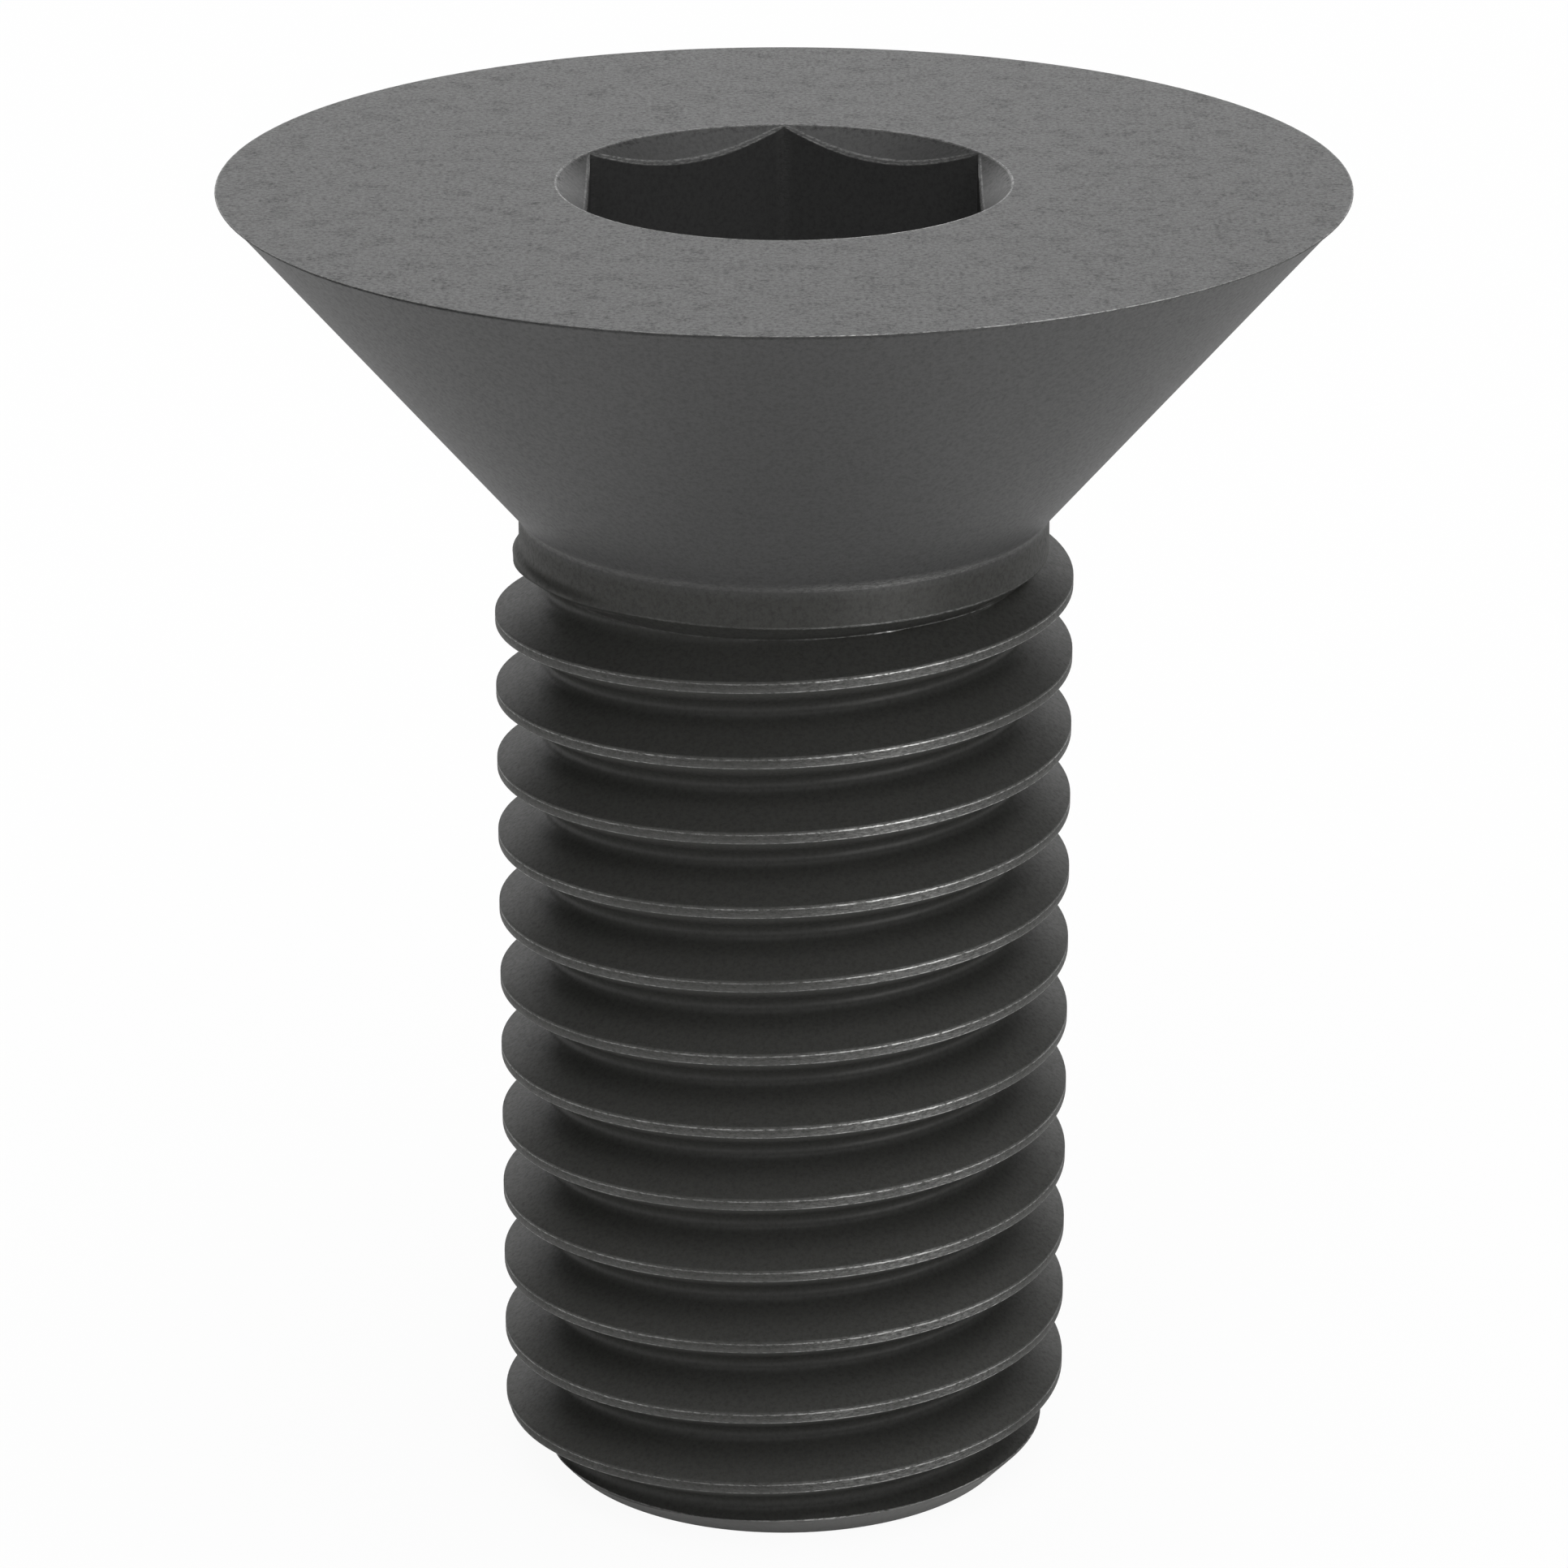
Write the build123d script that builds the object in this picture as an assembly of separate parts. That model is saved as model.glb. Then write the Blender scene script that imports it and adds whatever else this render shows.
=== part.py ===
"""A countersunk screw with a hexagon socket, one solid, standing on its point."""

from build123d import *
from itertools import pairwise
import math
import os

# Driving sizes in millimetres and degrees
overall_length = 44.45
major_diameter = 19.05
pitch = 2.54
flank_half_angle = 30.0
crest_flat = 0.37
root_flat = 0.36
first_crest_drop = 0.98

head_diameter = 36.56
head_cone_angle = 82.0
rim_land = 0.02
neck_diameter = 17.42
neck_height = 1.38
thread_shoulder_angle = 55.0

point_diameter = 15.52
point_chamfer_angle = 43.5

socket_across_flats = 12.7
socket_depth = 10.0
socket_entry_diameter = 14.75
socket_entry_angle = 105.0

# How far the trimming shapes stand clear of the faces that they leave alone
trim_clearance = 0.5

# Turns that the thread runs on past each end of the shank before it is trimmed
overrun_turns = 2

# Radii
major_radius = major_diameter / 2
head_radius = head_diameter / 2
neck_radius = neck_diameter / 2
point_radius = point_diameter / 2

# The flanks fall from the crest's flat to the root's flat
flank_slope = math.tan(math.radians(flank_half_angle))
core_radius = major_radius - (pitch - crest_flat - root_flat) / 2 / flank_slope

# Heights above the point's end face
head_cone_height = (head_radius - neck_radius) / math.tan(math.radians(head_cone_angle / 2))
rim_foot = overall_length - rim_land
neck_top = rim_foot - head_cone_height
thread_top = neck_top - neck_height


def one_turn(radius: float, height: float) -> Edge:
    """One turn of a right-hand helix, which starts over the X axis at this height."""
    return Helix(pitch=pitch, height=pitch, radius=radius, center=(0, 0, height)).edge()


def bar_end(rail: Edge, steps: list[Vector]) -> list[Face]:
    """What closes an end of the bar: a spiral face from the axis to its last rail, and the step in it."""
    foot = Vector(0, 0, rail.position_at(0).Z)
    axis = Edge.make_line(foot, foot + Vector(0, 0, pitch))
    step = Wire.make_polygon([axis @ 0, *steps, axis @ 1], close=True)
    return [Face.make_surface_from_curves(axis, rail), Face(step)]


def threaded_bar() -> Solid:
    """A threaded bar that runs past both ends of the shank, closed from strips of one turn each.

    Rails follow the corners of the thread's section up the bar, and a strip is ruled between each
    rail and the next: crest, upper flank, root and lower flank. A turn's last point lies on the next
    turn's first, so the strips join end to end into four unbroken bands.
    """
    turns = math.ceil(thread_top / pitch) + 2 * overrun_turns
    lowest_crest = thread_top - first_crest_drop + pitch * (overrun_turns - turns)
    section = [
        (major_radius, -crest_flat / 2),
        (major_radius, crest_flat / 2),
        (core_radius, (pitch - root_flat) / 2),
        (core_radius, (pitch + root_flat) / 2),
    ]
    rails = []
    for turn in range(turns):
        for radius, rise in section:
            rails.append(one_turn(radius, lowest_crest + rise + pitch * turn))
    rails.append(one_turn(major_radius, lowest_crest - crest_flat / 2 + pitch * turns))

    bands = [Face.make_surface_from_curves(lower, upper) for lower, upper in pairwise(rails)]
    bottom = bar_end(rails[0], [rail @ 0 for rail in rails[:5]])
    top = bar_end(rails[-1], [rail @ 1 for rail in rails[-5:]])
    skin = Face.sew_faces([*bands, *bottom, *top])[0]
    return Solid(Shell(skin))


def thread_envelope() -> Part:
    """What the thread is turned down to: flat end, point chamfer, and shoulder at the neck."""
    point_slope = math.tan(math.radians(point_chamfer_angle))
    shoulder_slope = math.tan(math.radians(thread_shoulder_angle))
    outer = major_radius + trim_clearance
    with BuildPart() as envelope:
        with BuildSketch(Plane.XZ):
            with BuildLine():
                Polyline(
                    (0, 0),
                    (point_radius, 0),
                    (outer, (outer - point_radius) / point_slope),
                    (outer, thread_top - (outer - neck_radius) / shoulder_slope),
                    (neck_radius - trim_clearance * shoulder_slope, thread_top + trim_clearance),
                    (0, thread_top + trim_clearance),
                    close=True,
                )
            make_face()
        revolve(axis=Axis.Z)
    return envelope.part


def threaded_shank() -> Part:
    """The threaded bar, turned down at both ends; its top reaches into the neck."""
    return threaded_bar() & thread_envelope()


def head_and_neck() -> Part:
    """The countersunk head with its narrow rim, and the plain neck under it."""
    with BuildPart() as head:
        with BuildSketch(Plane.XZ):
            with BuildLine():
                Polyline(
                    (0, thread_top),
                    (neck_radius, thread_top),
                    (neck_radius, neck_top),
                    (head_radius, rim_foot),
                    (head_radius, overall_length),
                    (0, overall_length),
                    close=True,
                )
            make_face()
        revolve(axis=Axis.Z)
    return head.part


def socket_hollow() -> Part:
    """The hexagon socket: six flats down to a flat floor, and a conical entry that cuts their top edges."""
    hexagon = RegularPolygon(socket_across_flats / 2, 6, major_radius=False, rotation=90)
    flats = extrude(Plane.XY.offset(overall_length - socket_depth) * hexagon, amount=socket_depth)
    entry_radius = socket_entry_diameter / 2
    entry_depth = entry_radius / math.tan(math.radians(socket_entry_angle / 2))
    with BuildPart() as entry:
        with BuildSketch(Plane.XZ):
            with BuildLine():
                Polyline(
                    (0, overall_length),
                    (entry_radius, overall_length),
                    (0, overall_length - entry_depth),
                    close=True,
                )
            make_face()
        revolve(axis=Axis.Z)
    return flats + entry.part


def socket_screw() -> Part:
    """The whole screw, one solid."""
    return threaded_shank() + head_and_neck() - socket_hollow()


os.makedirs("parts", exist_ok=True)
screw = socket_screw()
screw.label = "socket_screw"
export_step(screw, "parts/socket_screw.step")
print("volume", round(screw.volume, 1), "valid", screw.is_valid)
print("thread top", round(thread_top, 3), "neck top", round(neck_top, 3))
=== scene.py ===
"""The looks of a countersunk socket screw in black oxide, standing on its point.

The screw's surface is made once more, finer than the solid: the thread has round roots and worn
crest edges and runs out into the neck and the point, and the head has a thin lip round its rim.
"""

from __future__ import annotations

import logging
import math
from dataclasses import dataclass

import bmesh
import bpy
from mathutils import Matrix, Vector

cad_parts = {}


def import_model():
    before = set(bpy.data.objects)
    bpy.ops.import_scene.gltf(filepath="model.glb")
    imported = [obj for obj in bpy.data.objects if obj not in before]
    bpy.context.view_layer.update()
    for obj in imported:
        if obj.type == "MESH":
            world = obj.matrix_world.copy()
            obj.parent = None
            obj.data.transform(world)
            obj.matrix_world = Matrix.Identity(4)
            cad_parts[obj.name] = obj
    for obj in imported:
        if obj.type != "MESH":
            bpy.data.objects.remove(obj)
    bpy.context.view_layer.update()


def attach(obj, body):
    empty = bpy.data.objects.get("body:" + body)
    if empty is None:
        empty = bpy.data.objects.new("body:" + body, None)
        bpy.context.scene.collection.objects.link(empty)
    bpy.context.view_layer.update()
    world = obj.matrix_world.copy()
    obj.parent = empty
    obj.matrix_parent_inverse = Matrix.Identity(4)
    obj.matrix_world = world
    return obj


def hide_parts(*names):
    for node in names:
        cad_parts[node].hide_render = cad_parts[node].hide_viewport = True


MM = 0.001
COLUMNS = 144
MERGE = 1e-7
NODE = "socket_screw"

# The mesh's own layers, which the finish reads: wear of turned edges, with painted highlights on the
# fillet and the socket's corners and painted shade below zero under the lip, distance past the
# point's chamfer, one along a whole crest, distance from the crest's middle, a painted highlight in
# the thread's groove, and distance past the neck's foot. The distances are in millimetres.
WEAR_AND_PAINTED_LIGHT = "wear_and_painted_light"
CUT = "cut"
CREST = "crest"
SIDE = "side"
PAINTED_GROOVE_LIGHT = "sheen"
FOOT = "foot"

# The cut layer's value on what lies far from the point
UNCUT = -5.0

WHITE = (1.0, 1.0, 1.0, 1.0)

log = logging.getLogger("socket_screw")


class Value:
    """A number that varies over a mesh or a surface, with Python's arithmetic."""

    def __init__(self, graph: Graph, socket: bpy.types.NodeSocket) -> None:
        """Wraps one output socket of a graph's node."""
        self.graph = graph
        self.socket = socket

    def __add__(self, other: Number) -> Value:
        """Sum."""
        return self.graph.math("ADD", self, other)

    __radd__ = __add__

    def __sub__(self, other: Number) -> Value:
        """Difference."""
        return self.graph.math("SUBTRACT", self, other)

    def __rsub__(self, other: Number) -> Value:
        """Difference with the number on the left."""
        return self.graph.math("SUBTRACT", other, self)

    def __mul__(self, other: Number) -> Value:
        """Product."""
        return self.graph.math("MULTIPLY", self, other)

    __rmul__ = __mul__

    def __truediv__(self, other: Number) -> Value:
        """Quotient."""
        return self.graph.math("DIVIDE", self, other)

    def __rtruediv__(self, other: Number) -> Value:
        """Quotient with the number on the left."""
        return self.graph.math("DIVIDE", other, self)

    def __neg__(self) -> Value:
        """Negative."""
        return self.graph.math("MULTIPLY", self, -1.0)

    def __lt__(self, other: Number) -> Value:
        """One where this is less, and zero elsewhere."""
        return self.graph.math("LESS_THAN", self, other)

    def __gt__(self, other: Number) -> Value:
        """One where this is more, and zero elsewhere."""
        return self.graph.math("GREATER_THAN", self, other)


Number = Value | float
Colour = tuple[float, float, float]

# Two ends of a range
Ends = tuple[Number, Number]

# A point of the screw's lengthwise section: its radius and its height
Spot = tuple[float, float]

# Points of that section, each with its radius, its height and its wear
Section = list[tuple[float, float, float]]


class Graph:
    """Adds nodes to one node tree: a material's, the world's or a modifier's."""

    def __init__(self, tree: bpy.types.NodeTree) -> None:
        """Takes the tree as it is and clears it."""
        self.tree = tree
        tree.nodes.clear()

    def node(self, kind: str, settings: dict | None = None, inputs: dict | None = None) -> bpy.types.Node:
        """Adds one node.

        Args:
            kind: The node's type name.
            settings: Its properties, which are set first.
            inputs: A value or a link for each socket, by name or place.

        Returns:
            The new node.
        """
        node = self.tree.nodes.new(kind)
        for name, value in (settings or {}).items():
            setattr(node, name, value)
        for name, value in (inputs or {}).items():
            self.feed(node.inputs[name], value)
        return node

    def feed(self, socket: bpy.types.NodeSocket, value: object) -> None:
        """Links a socket, or sets its own number or colour.

        Args:
            socket: The input socket.
            value: A value or an output socket to link, or what the socket's own value is set to.
        """
        if isinstance(value, Value):
            value = value.socket
        if isinstance(value, bpy.types.NodeSocket):
            self.tree.links.new(value, socket)
        else:
            socket.default_value = value

    def out(self, node: bpy.types.Node, name: str | int = 0) -> Value:
        """One of a node's outputs, as a value."""
        return Value(self, node.outputs[name])

    def math(self, operation: str, *terms: Number) -> Value:
        """One Math node on up to three terms."""
        return self.out(self.node("ShaderNodeMath", {"operation": operation}, dict(enumerate(terms))))

    def axis(self, place: object, name: str) -> Value:
        """One coordinate of a place: X, Y or Z."""
        return self.out(self.node("ShaderNodeSeparateXYZ", None, {0: place}), name)

    def vector(self, operation: str, *terms: object) -> Value:
        """One Vector Math node; its result is a number for the operations that give one."""
        node = self.node("ShaderNodeVectorMath", {"operation": operation}, dict(enumerate(terms)))
        return self.out(node, "Value" if operation in ("LENGTH", "DOT_PRODUCT") else "Vector")

    def level(self, place: object) -> Value:
        """A place's offset from the screw's axis, as a vector."""
        return self.vector("MULTIPLY", place, (1.0, 1.0, 0.0))

    def side(self, place: object, toward: tuple[float, ...]) -> Value:
        """How far a place lies round towards a side: one on it, and minus one opposite."""
        outward = self.vector("NORMALIZE", self.level(place))
        return self.vector("DOT_PRODUCT", outward, toward)

    def size(self, value: Number) -> Value:
        """The value without its sign."""
        return self.math("ABSOLUTE", value)

    def least(self, first: Number, second: Number) -> Value:
        """The smaller of two values."""
        return self.math("MINIMUM", first, second)

    def most(self, first: Number, second: Number) -> Value:
        """The larger of two values."""
        return self.math("MAXIMUM", first, second)

    def clamp(self, value: Number, low: Number = 0.0, high: Number = 1.0) -> Value:
        """The value, held between low and high."""
        return self.least(self.most(value, low), high)

    def soft_least(self, first: Number, second: Number, width: Number) -> Value:
        """The smaller of two values, rounded over where they lie within a width of each other."""
        return self.math("SMOOTH_MIN", first, second, width)

    def soft_most(self, first: Number, second: Number, width: Number) -> Value:
        """The larger of two values, rounded over where they lie within a width of each other."""
        return self.math("SMOOTH_MAX", first, second, width)

    def line(self, distance: Value, half_width: float) -> Value:
        """One where a distance is zero, fading to zero at half the line's width."""
        return self.clamp(1.0 - self.size(distance) / half_width)

    def root(self, value: Number) -> Value:
        """Square root, with what is below zero taken as zero."""
        return self.math("SQRT", self.most(value, 0.0))

    def choose(self, when: Value, then: Number, otherwise: Number) -> Value:
        """Then where the condition is one, and otherwise where it is zero."""
        return when * then + (1.0 - when) * otherwise

    def mix(self, share: Value, first: object, second: object, blend: str = "MIX") -> bpy.types.NodeSocket:
        """Mixes two colours, each a socket or a colour of four numbers.

        Args:
            share: How much of the second there is.
            first: The colour at zero.
            second: The colour at one.
            blend: How the second meets the first.

        Returns:
            The socket of the mixed colour.
        """
        node = self.node("ShaderNodeMix", {"data_type": "RGBA", "blend_type": blend})
        self.feed(node.inputs["Factor"], share)
        colours = [socket for socket in node.inputs if socket.type == "RGBA"]
        self.feed(colours[0], first)
        self.feed(colours[1], second)
        return next(socket for socket in node.outputs if socket.type == "RGBA")

    def spread(self, value: Value, ends: Ends, to: Ends = (0.0, 1.0)) -> Value:
        """Maps a range onto another in a straight line and stays within it.

        Args:
            value: What is mapped.
            ends: The two ends of its range.
            to: What they are mapped to.

        Returns:
            The mapped value.
        """
        names = ("Value", "From Min", "From Max", "To Min", "To Max")
        inputs = dict(zip(names, (value, *ends, *to)))
        return self.out(self.node("ShaderNodeMapRange", {"clamp": True}, inputs), "Result")


@dataclass
class ThreadedShank:
    """The right-hand thread between the neck and the point, made by Geometry Nodes.

    Its rows of faces follow the helix, so the crests and roots have clean edges. Sizes are in
    millimetres and degrees.
    """

    major_radius: float = 9.525
    pitch: float = 2.54
    crest_flat: float = 0.38
    flank_angle: float = 30.0
    root_radius: float = 0.36
    crest_edge: float = 0.045
    thread_top: float = 32.041
    first_crest_drop: float = 0.98
    neck_radius: float = 8.712
    shoulder_angle: float = 55.0
    shoulder_blend: float = 0.12
    point_radius: float = 7.78
    chamfer_angle: float = 43.5
    chamfer_blend: float = 0.06

    # The lip where the ridge runs into the neck, and the sloped foot under the neck's edge
    lip: float = 0.15
    foot_step: float = 0.08
    foot_slope: float = 1.08
    foot_blend: float = 0.04

    # Worn bands, and painted highlights in the thread's groove; the reaches go with the wear's width
    # and half the root's
    wear_width: float = 0.05
    crest_reach: float = 1.5
    whole_margin: float = 0.025
    side_limit: float = 0.3
    root_reach: float = 1.3
    root_highlight: float = 0.045
    underside_highlight: float = 0.06

    # Depth below each end over which the rows draw together, and turns past the point
    squeeze: float = 0.5
    spare_turns: int = 2

    # Rows of faces on half a pitch: crest, its worn rim, its round edge, the flank's worn rim, the
    # flank and the root
    rows: tuple[int, ...] = (1, 1, 4, 1, 6, 5)

    @property
    def half_root(self) -> float:
        """Half the width of the round root, along the axis."""
        return self.root_radius * math.cos(math.radians(self.flank_angle))

    @property
    def edge_reach(self) -> float:
        """How far the crest's round edge reaches along the crest from the sharp corner."""
        return self.crest_edge * math.tan(math.radians(self.flank_angle))

    @property
    def stops(self) -> list[float]:
        """Distances from the crest's middle at which the rows' spacing changes.

        Returns:
            The distances in millimetres, from the crest's middle to the root's.
        """
        flank = math.radians(self.flank_angle)
        half_crest = self.crest_flat / 2
        half_pitch = self.pitch / 2
        edge_start = half_crest - self.edge_reach
        edge_end = half_crest + self.edge_reach * math.sin(flank)
        wear_and_light_layer = self.wear_width
        on_crest = [0.0, half_crest - wear_and_light_layer, edge_start, edge_end, half_crest + wear_and_light_layer]
        return [*on_crest, half_pitch - self.half_root, half_pitch]

    @property
    def turns(self) -> int:
        """Turns that cover the shank, with some to spare."""
        return math.ceil(self.thread_top / self.pitch) + self.spare_turns

    @property
    def lowest_crest(self) -> float:
        """Height of the lowest crest's middle, which lies below the point."""
        return (self.thread_top - self.first_crest_drop) % self.pitch - self.spare_turns * self.pitch

    def row_heights(self, graph: Graph, row: Value) -> Value:
        """Height of a row above the lowest crest's middle, before the helix lifts it.

        Args:
            graph: The tree for the nodes.
            row: The row's number.

        Returns:
            The height in metres.
        """
        half = sum(self.rows)

        # Rows are whole numbers, so a part of one keeps rounding off these two limits
        turn = graph.math("FLOOR", (row + 0.25) / (2.0 * half))
        step = row - turn * (2.0 * half)
        down = step > half + 0.5
        near = graph.choose(down, 2.0 * half - step, step)
        rise: Number = 0.0
        first = 0
        stops = self.stops
        for count, low, high in zip(self.rows, stops, stops[1:]):
            rise = graph.spread(near, (first, first + count), (0.0, (high - low) * MM)) + rise
            first += count
        pitch = self.pitch * MM
        return turn * pitch + graph.choose(down, pitch - rise, rise)

    def squeezed(self, graph: Graph, depth: Value) -> Value:
        """Depth below an end's plane, drawn in so that rows meet the end in a circle.

        Args:
            graph: The tree for the nodes.
            depth: The row's own depth, which is below zero past the end.

        Returns:
            The depth to use, which is never below zero.
        """
        reach = self.squeeze * MM
        near = graph.clamp(depth, 0.0, reach)
        return near * near * (2.0 * reach - near) / reach**2 + graph.most(depth - reach, 0.0)

    def section(self, graph: Graph, away: Value, sizes: dict[str, Value]) -> Value:
        """The thread's radius at a distance from the crest's middle.

        Args:
            graph: The tree for the nodes.
            away: Distance along the axis from the nearest crest's middle.
            sizes: The tree's named inputs.

        Returns:
            The radius in metres.
        """
        flank = math.radians(self.flank_angle)
        half_crest = sizes["Crest flat"] * 0.5
        flank_radius = sizes["Major radius"] - (away - half_crest) / math.tan(flank)

        edge = sizes["Crest edge"]
        edge_start = half_crest - edge * math.tan(flank)
        edge_end = half_crest + edge * (math.tan(flank) * math.sin(flank))
        into_edge = away - edge_start
        edge_radius = sizes["Major radius"] - edge + graph.root(edge * edge - into_edge * into_edge)

        from_root = sizes["Pitch"] * 0.5 - away
        fillet = sizes["Root radius"]
        sharp_root = sizes["Major radius"] - (sizes["Pitch"] * 0.5 - half_crest) / math.tan(flank)
        root_centre = sharp_root + fillet / math.sin(flank)
        root_radius = root_centre - graph.root(fillet * fillet - from_root * from_root)

        lower = graph.choose(from_root < fillet * math.cos(flank), root_radius, flank_radius)
        upper = graph.choose(away < edge_start, sizes["Major radius"], edge_radius)
        return graph.choose(away < edge_end, upper, lower)

    def grid(self, graph: Graph) -> tuple[bpy.types.NodeSocket, Value, Value]:
        """The flat grid of rows and columns that is wound into the shank.

        Args:
            graph: The tree for the nodes.

        Returns:
            The grid, and each point's share of a turn and number of its row.
        """
        rows = 2 * sum(self.rows) * self.turns
        counts = {"Size X": 1.0, "Size Y": 1.0, "Vertices X": COLUMNS + 1, "Vertices Y": rows + 1}
        grid = graph.node("GeometryNodeMeshGrid", None, counts)
        place = graph.node("GeometryNodeInputPosition").outputs[0]
        column = graph.math("ROUND", (graph.axis(place, "X") + 0.5) * COLUMNS)
        row = graph.math("ROUND", (graph.axis(place, "Y") + 0.5) * rows)
        return grid.outputs["Mesh"], column / COLUMNS, row

    def heights(self, graph: Graph, turned: Value, row: Value, sizes: dict[str, Value]) -> Value:
        """Heights along the helix, held between the shank's two ends.

        Args:
            graph: The tree for the nodes.
            turned: Share of a turn.
            row: The row's number.
            sizes: The tree's named inputs.

        Returns:
            The height in metres.
        """
        raw = self.row_heights(graph, row) + self.lowest_crest * MM + turned * sizes["Pitch"]
        top = sizes["Thread top"]
        upper = top - self.squeezed(graph, top - raw)
        lower = self.squeezed(graph, raw)
        return graph.choose(raw > top * 0.5, upper, lower)

    def surface(
        self, graph: Graph, turned: Value, height: Value, sizes: dict[str, Value]
    ) -> tuple[Value, dict[str, Value]]:
        """The thread, turned down at both ends, and what its finish has to know of it.

        Args:
            graph: The tree for the nodes.
            turned: Share of a turn.
            height: The height in metres.
            sizes: The tree's named inputs.

        Returns:
            The radius in metres, and the value of each layer.
        """
        top = sizes["Thread top"]
        half_pitch = sizes["Pitch"] * 0.5
        from_crest = height - (top - sizes["First crest drop"]) - turned * sizes["Pitch"]
        above = graph.math("WRAP", from_crest, half_pitch, -half_pitch)
        away = graph.size(above)
        thread = self.section(graph, away, sizes)

        depth = top - height
        blend = self.shoulder_blend * MM
        sloped = (graph.root(depth * depth + blend * blend) - blend) * sizes["Shoulder slope"]
        shoulder = sizes["Neck radius"] + self.lip * MM + sloped
        chamfer = sizes["Point radius"] + height * sizes["Chamfer slope"]
        foot = sizes["Neck radius"] - self.foot_step * MM - depth * self.foot_slope
        radius = graph.soft_least(thread, shoulder, blend)
        radius = graph.soft_least(radius, chamfer, self.chamfer_blend * MM)
        radius = graph.soft_most(radius, foot, self.foot_blend * MM)

        half_crest = self.crest_flat / 2
        near_crest = away < (half_crest + self.wear_width * self.crest_reach) * MM
        whole = thread < graph.least(shoulder, chamfer) + self.whole_margin * MM
        # A painted highlight in the root and on the flank just under each crest
        root_start = (self.pitch / 2 - self.half_root * self.root_reach) * MM
        in_root = graph.spread(away, (root_start, self.pitch / 2 * MM), (0.0, self.root_highlight))
        near_top = graph.spread(away, (half_crest * MM, root_start), (self.underside_highlight, 0.0))
        layers = {
            CREST: near_crest * whole,
            SIDE: graph.clamp(above / MM, -self.side_limit, self.side_limit),
            PAINTED_GROOVE_LIGHT: graph.most(in_root, (above < 0.0) * near_top),
            FOOT: (thread - foot) / MM,
            CUT: (thread - chamfer) / MM,
        }
        return radius, layers

    def tree(self) -> tuple[bpy.types.GeometryNodeTree, dict[str, str]]:
        """Builds the node tree.

        Returns:
            The tree, and the identifier of each of its named inputs.
        """
        tree = bpy.data.node_groups.new("threaded shank", "GeometryNodeTree")
        graph = Graph(tree)
        tree.interface.new_socket("Geometry", in_out="OUTPUT", socket_type="NodeSocketGeometry")
        kinds = dict.fromkeys(self.inputs(), "NodeSocketFloat") | {"Finish": "NodeSocketMaterial"}
        identifiers = {}
        for name, kind in kinds.items():
            socket = tree.interface.new_socket(name, in_out="INPUT", socket_type=kind)
            identifiers[name] = socket.identifier
        entry = graph.node("NodeGroupInput")
        sizes = {name: graph.out(entry, name) for name in self.inputs()}

        carried, turned, row = self.grid(graph)
        height = self.heights(graph, turned, row, sizes)
        radius, layers = self.surface(graph, turned, height, sizes)
        for name, value in layers.items():
            settings = {"data_type": "FLOAT", "domain": "POINT"}
            store = {"Geometry": carried, "Name": name, "Value": value}
            carried = graph.node("GeometryNodeStoreNamedAttribute", settings, store).outputs[0]

        angle = turned * math.tau
        across = radius * graph.math("COSINE", angle)
        back = radius * graph.math("SINE", angle)
        spot = graph.node("ShaderNodeCombineXYZ", None, {"X": across, "Y": back, "Z": height})
        steps = (
            ("GeometryNodeSetPosition", {"Position": spot.outputs[0]}),
            ("GeometryNodeMergeByDistance", {"Distance": MERGE}),
            ("GeometryNodeRealizeInstances", {}),
            ("GeometryNodeSetMaterial", {"Material": graph.out(entry, "Finish")}),
        )
        for kind, inputs in steps:
            carried = graph.node(kind, None, {"Geometry": carried, **inputs}).outputs[0]
        graph.node("NodeGroupOutput", None, {0: carried})
        return tree, identifiers

    def inputs(self) -> dict[str, float]:
        """The sizes that the tree takes.

        Returns:
            Each named size, in metres, and each slope as radius over height.
        """
        return {
            "Major radius": self.major_radius * MM,
            "Pitch": self.pitch * MM,
            "Crest flat": self.crest_flat * MM,
            "Crest edge": self.crest_edge * MM,
            "Root radius": self.root_radius * MM,
            "Thread top": self.thread_top * MM,
            "First crest drop": self.first_crest_drop * MM,
            "Neck radius": self.neck_radius * MM,
            "Point radius": self.point_radius * MM,
            "Shoulder slope": math.tan(math.radians(self.shoulder_angle)),
            "Chamfer slope": math.tan(math.radians(self.chamfer_angle)),
        }

    def mesh(self, material: bpy.types.Material) -> bpy.types.Mesh:
        """Evaluates the tree on an empty mesh.

        Args:
            material: The screw's finish.

        Returns:
            An open tube with a ring of vertices at its top and its foot.
        """
        tree, identifiers = self.tree()
        holder = bpy.data.objects.new("shank holder", bpy.data.meshes.new("shank holder"))
        bpy.context.scene.collection.objects.link(holder)
        modifier = holder.modifiers.new("threaded shank", "NODES")
        modifier.node_group = tree
        for name, value in self.inputs().items():
            modifier[identifiers[name]] = value
        modifier[identifiers["Finish"]] = material
        evaluated = holder.evaluated_get(bpy.context.evaluated_depsgraph_get())
        mesh = bpy.data.meshes.new_from_object(evaluated)
        bpy.data.objects.remove(holder)
        bpy.data.node_groups.remove(tree)
        log.info("shank: %d vertices, %d faces", len(mesh.vertices), len(mesh.polygons))
        return mesh


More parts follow.
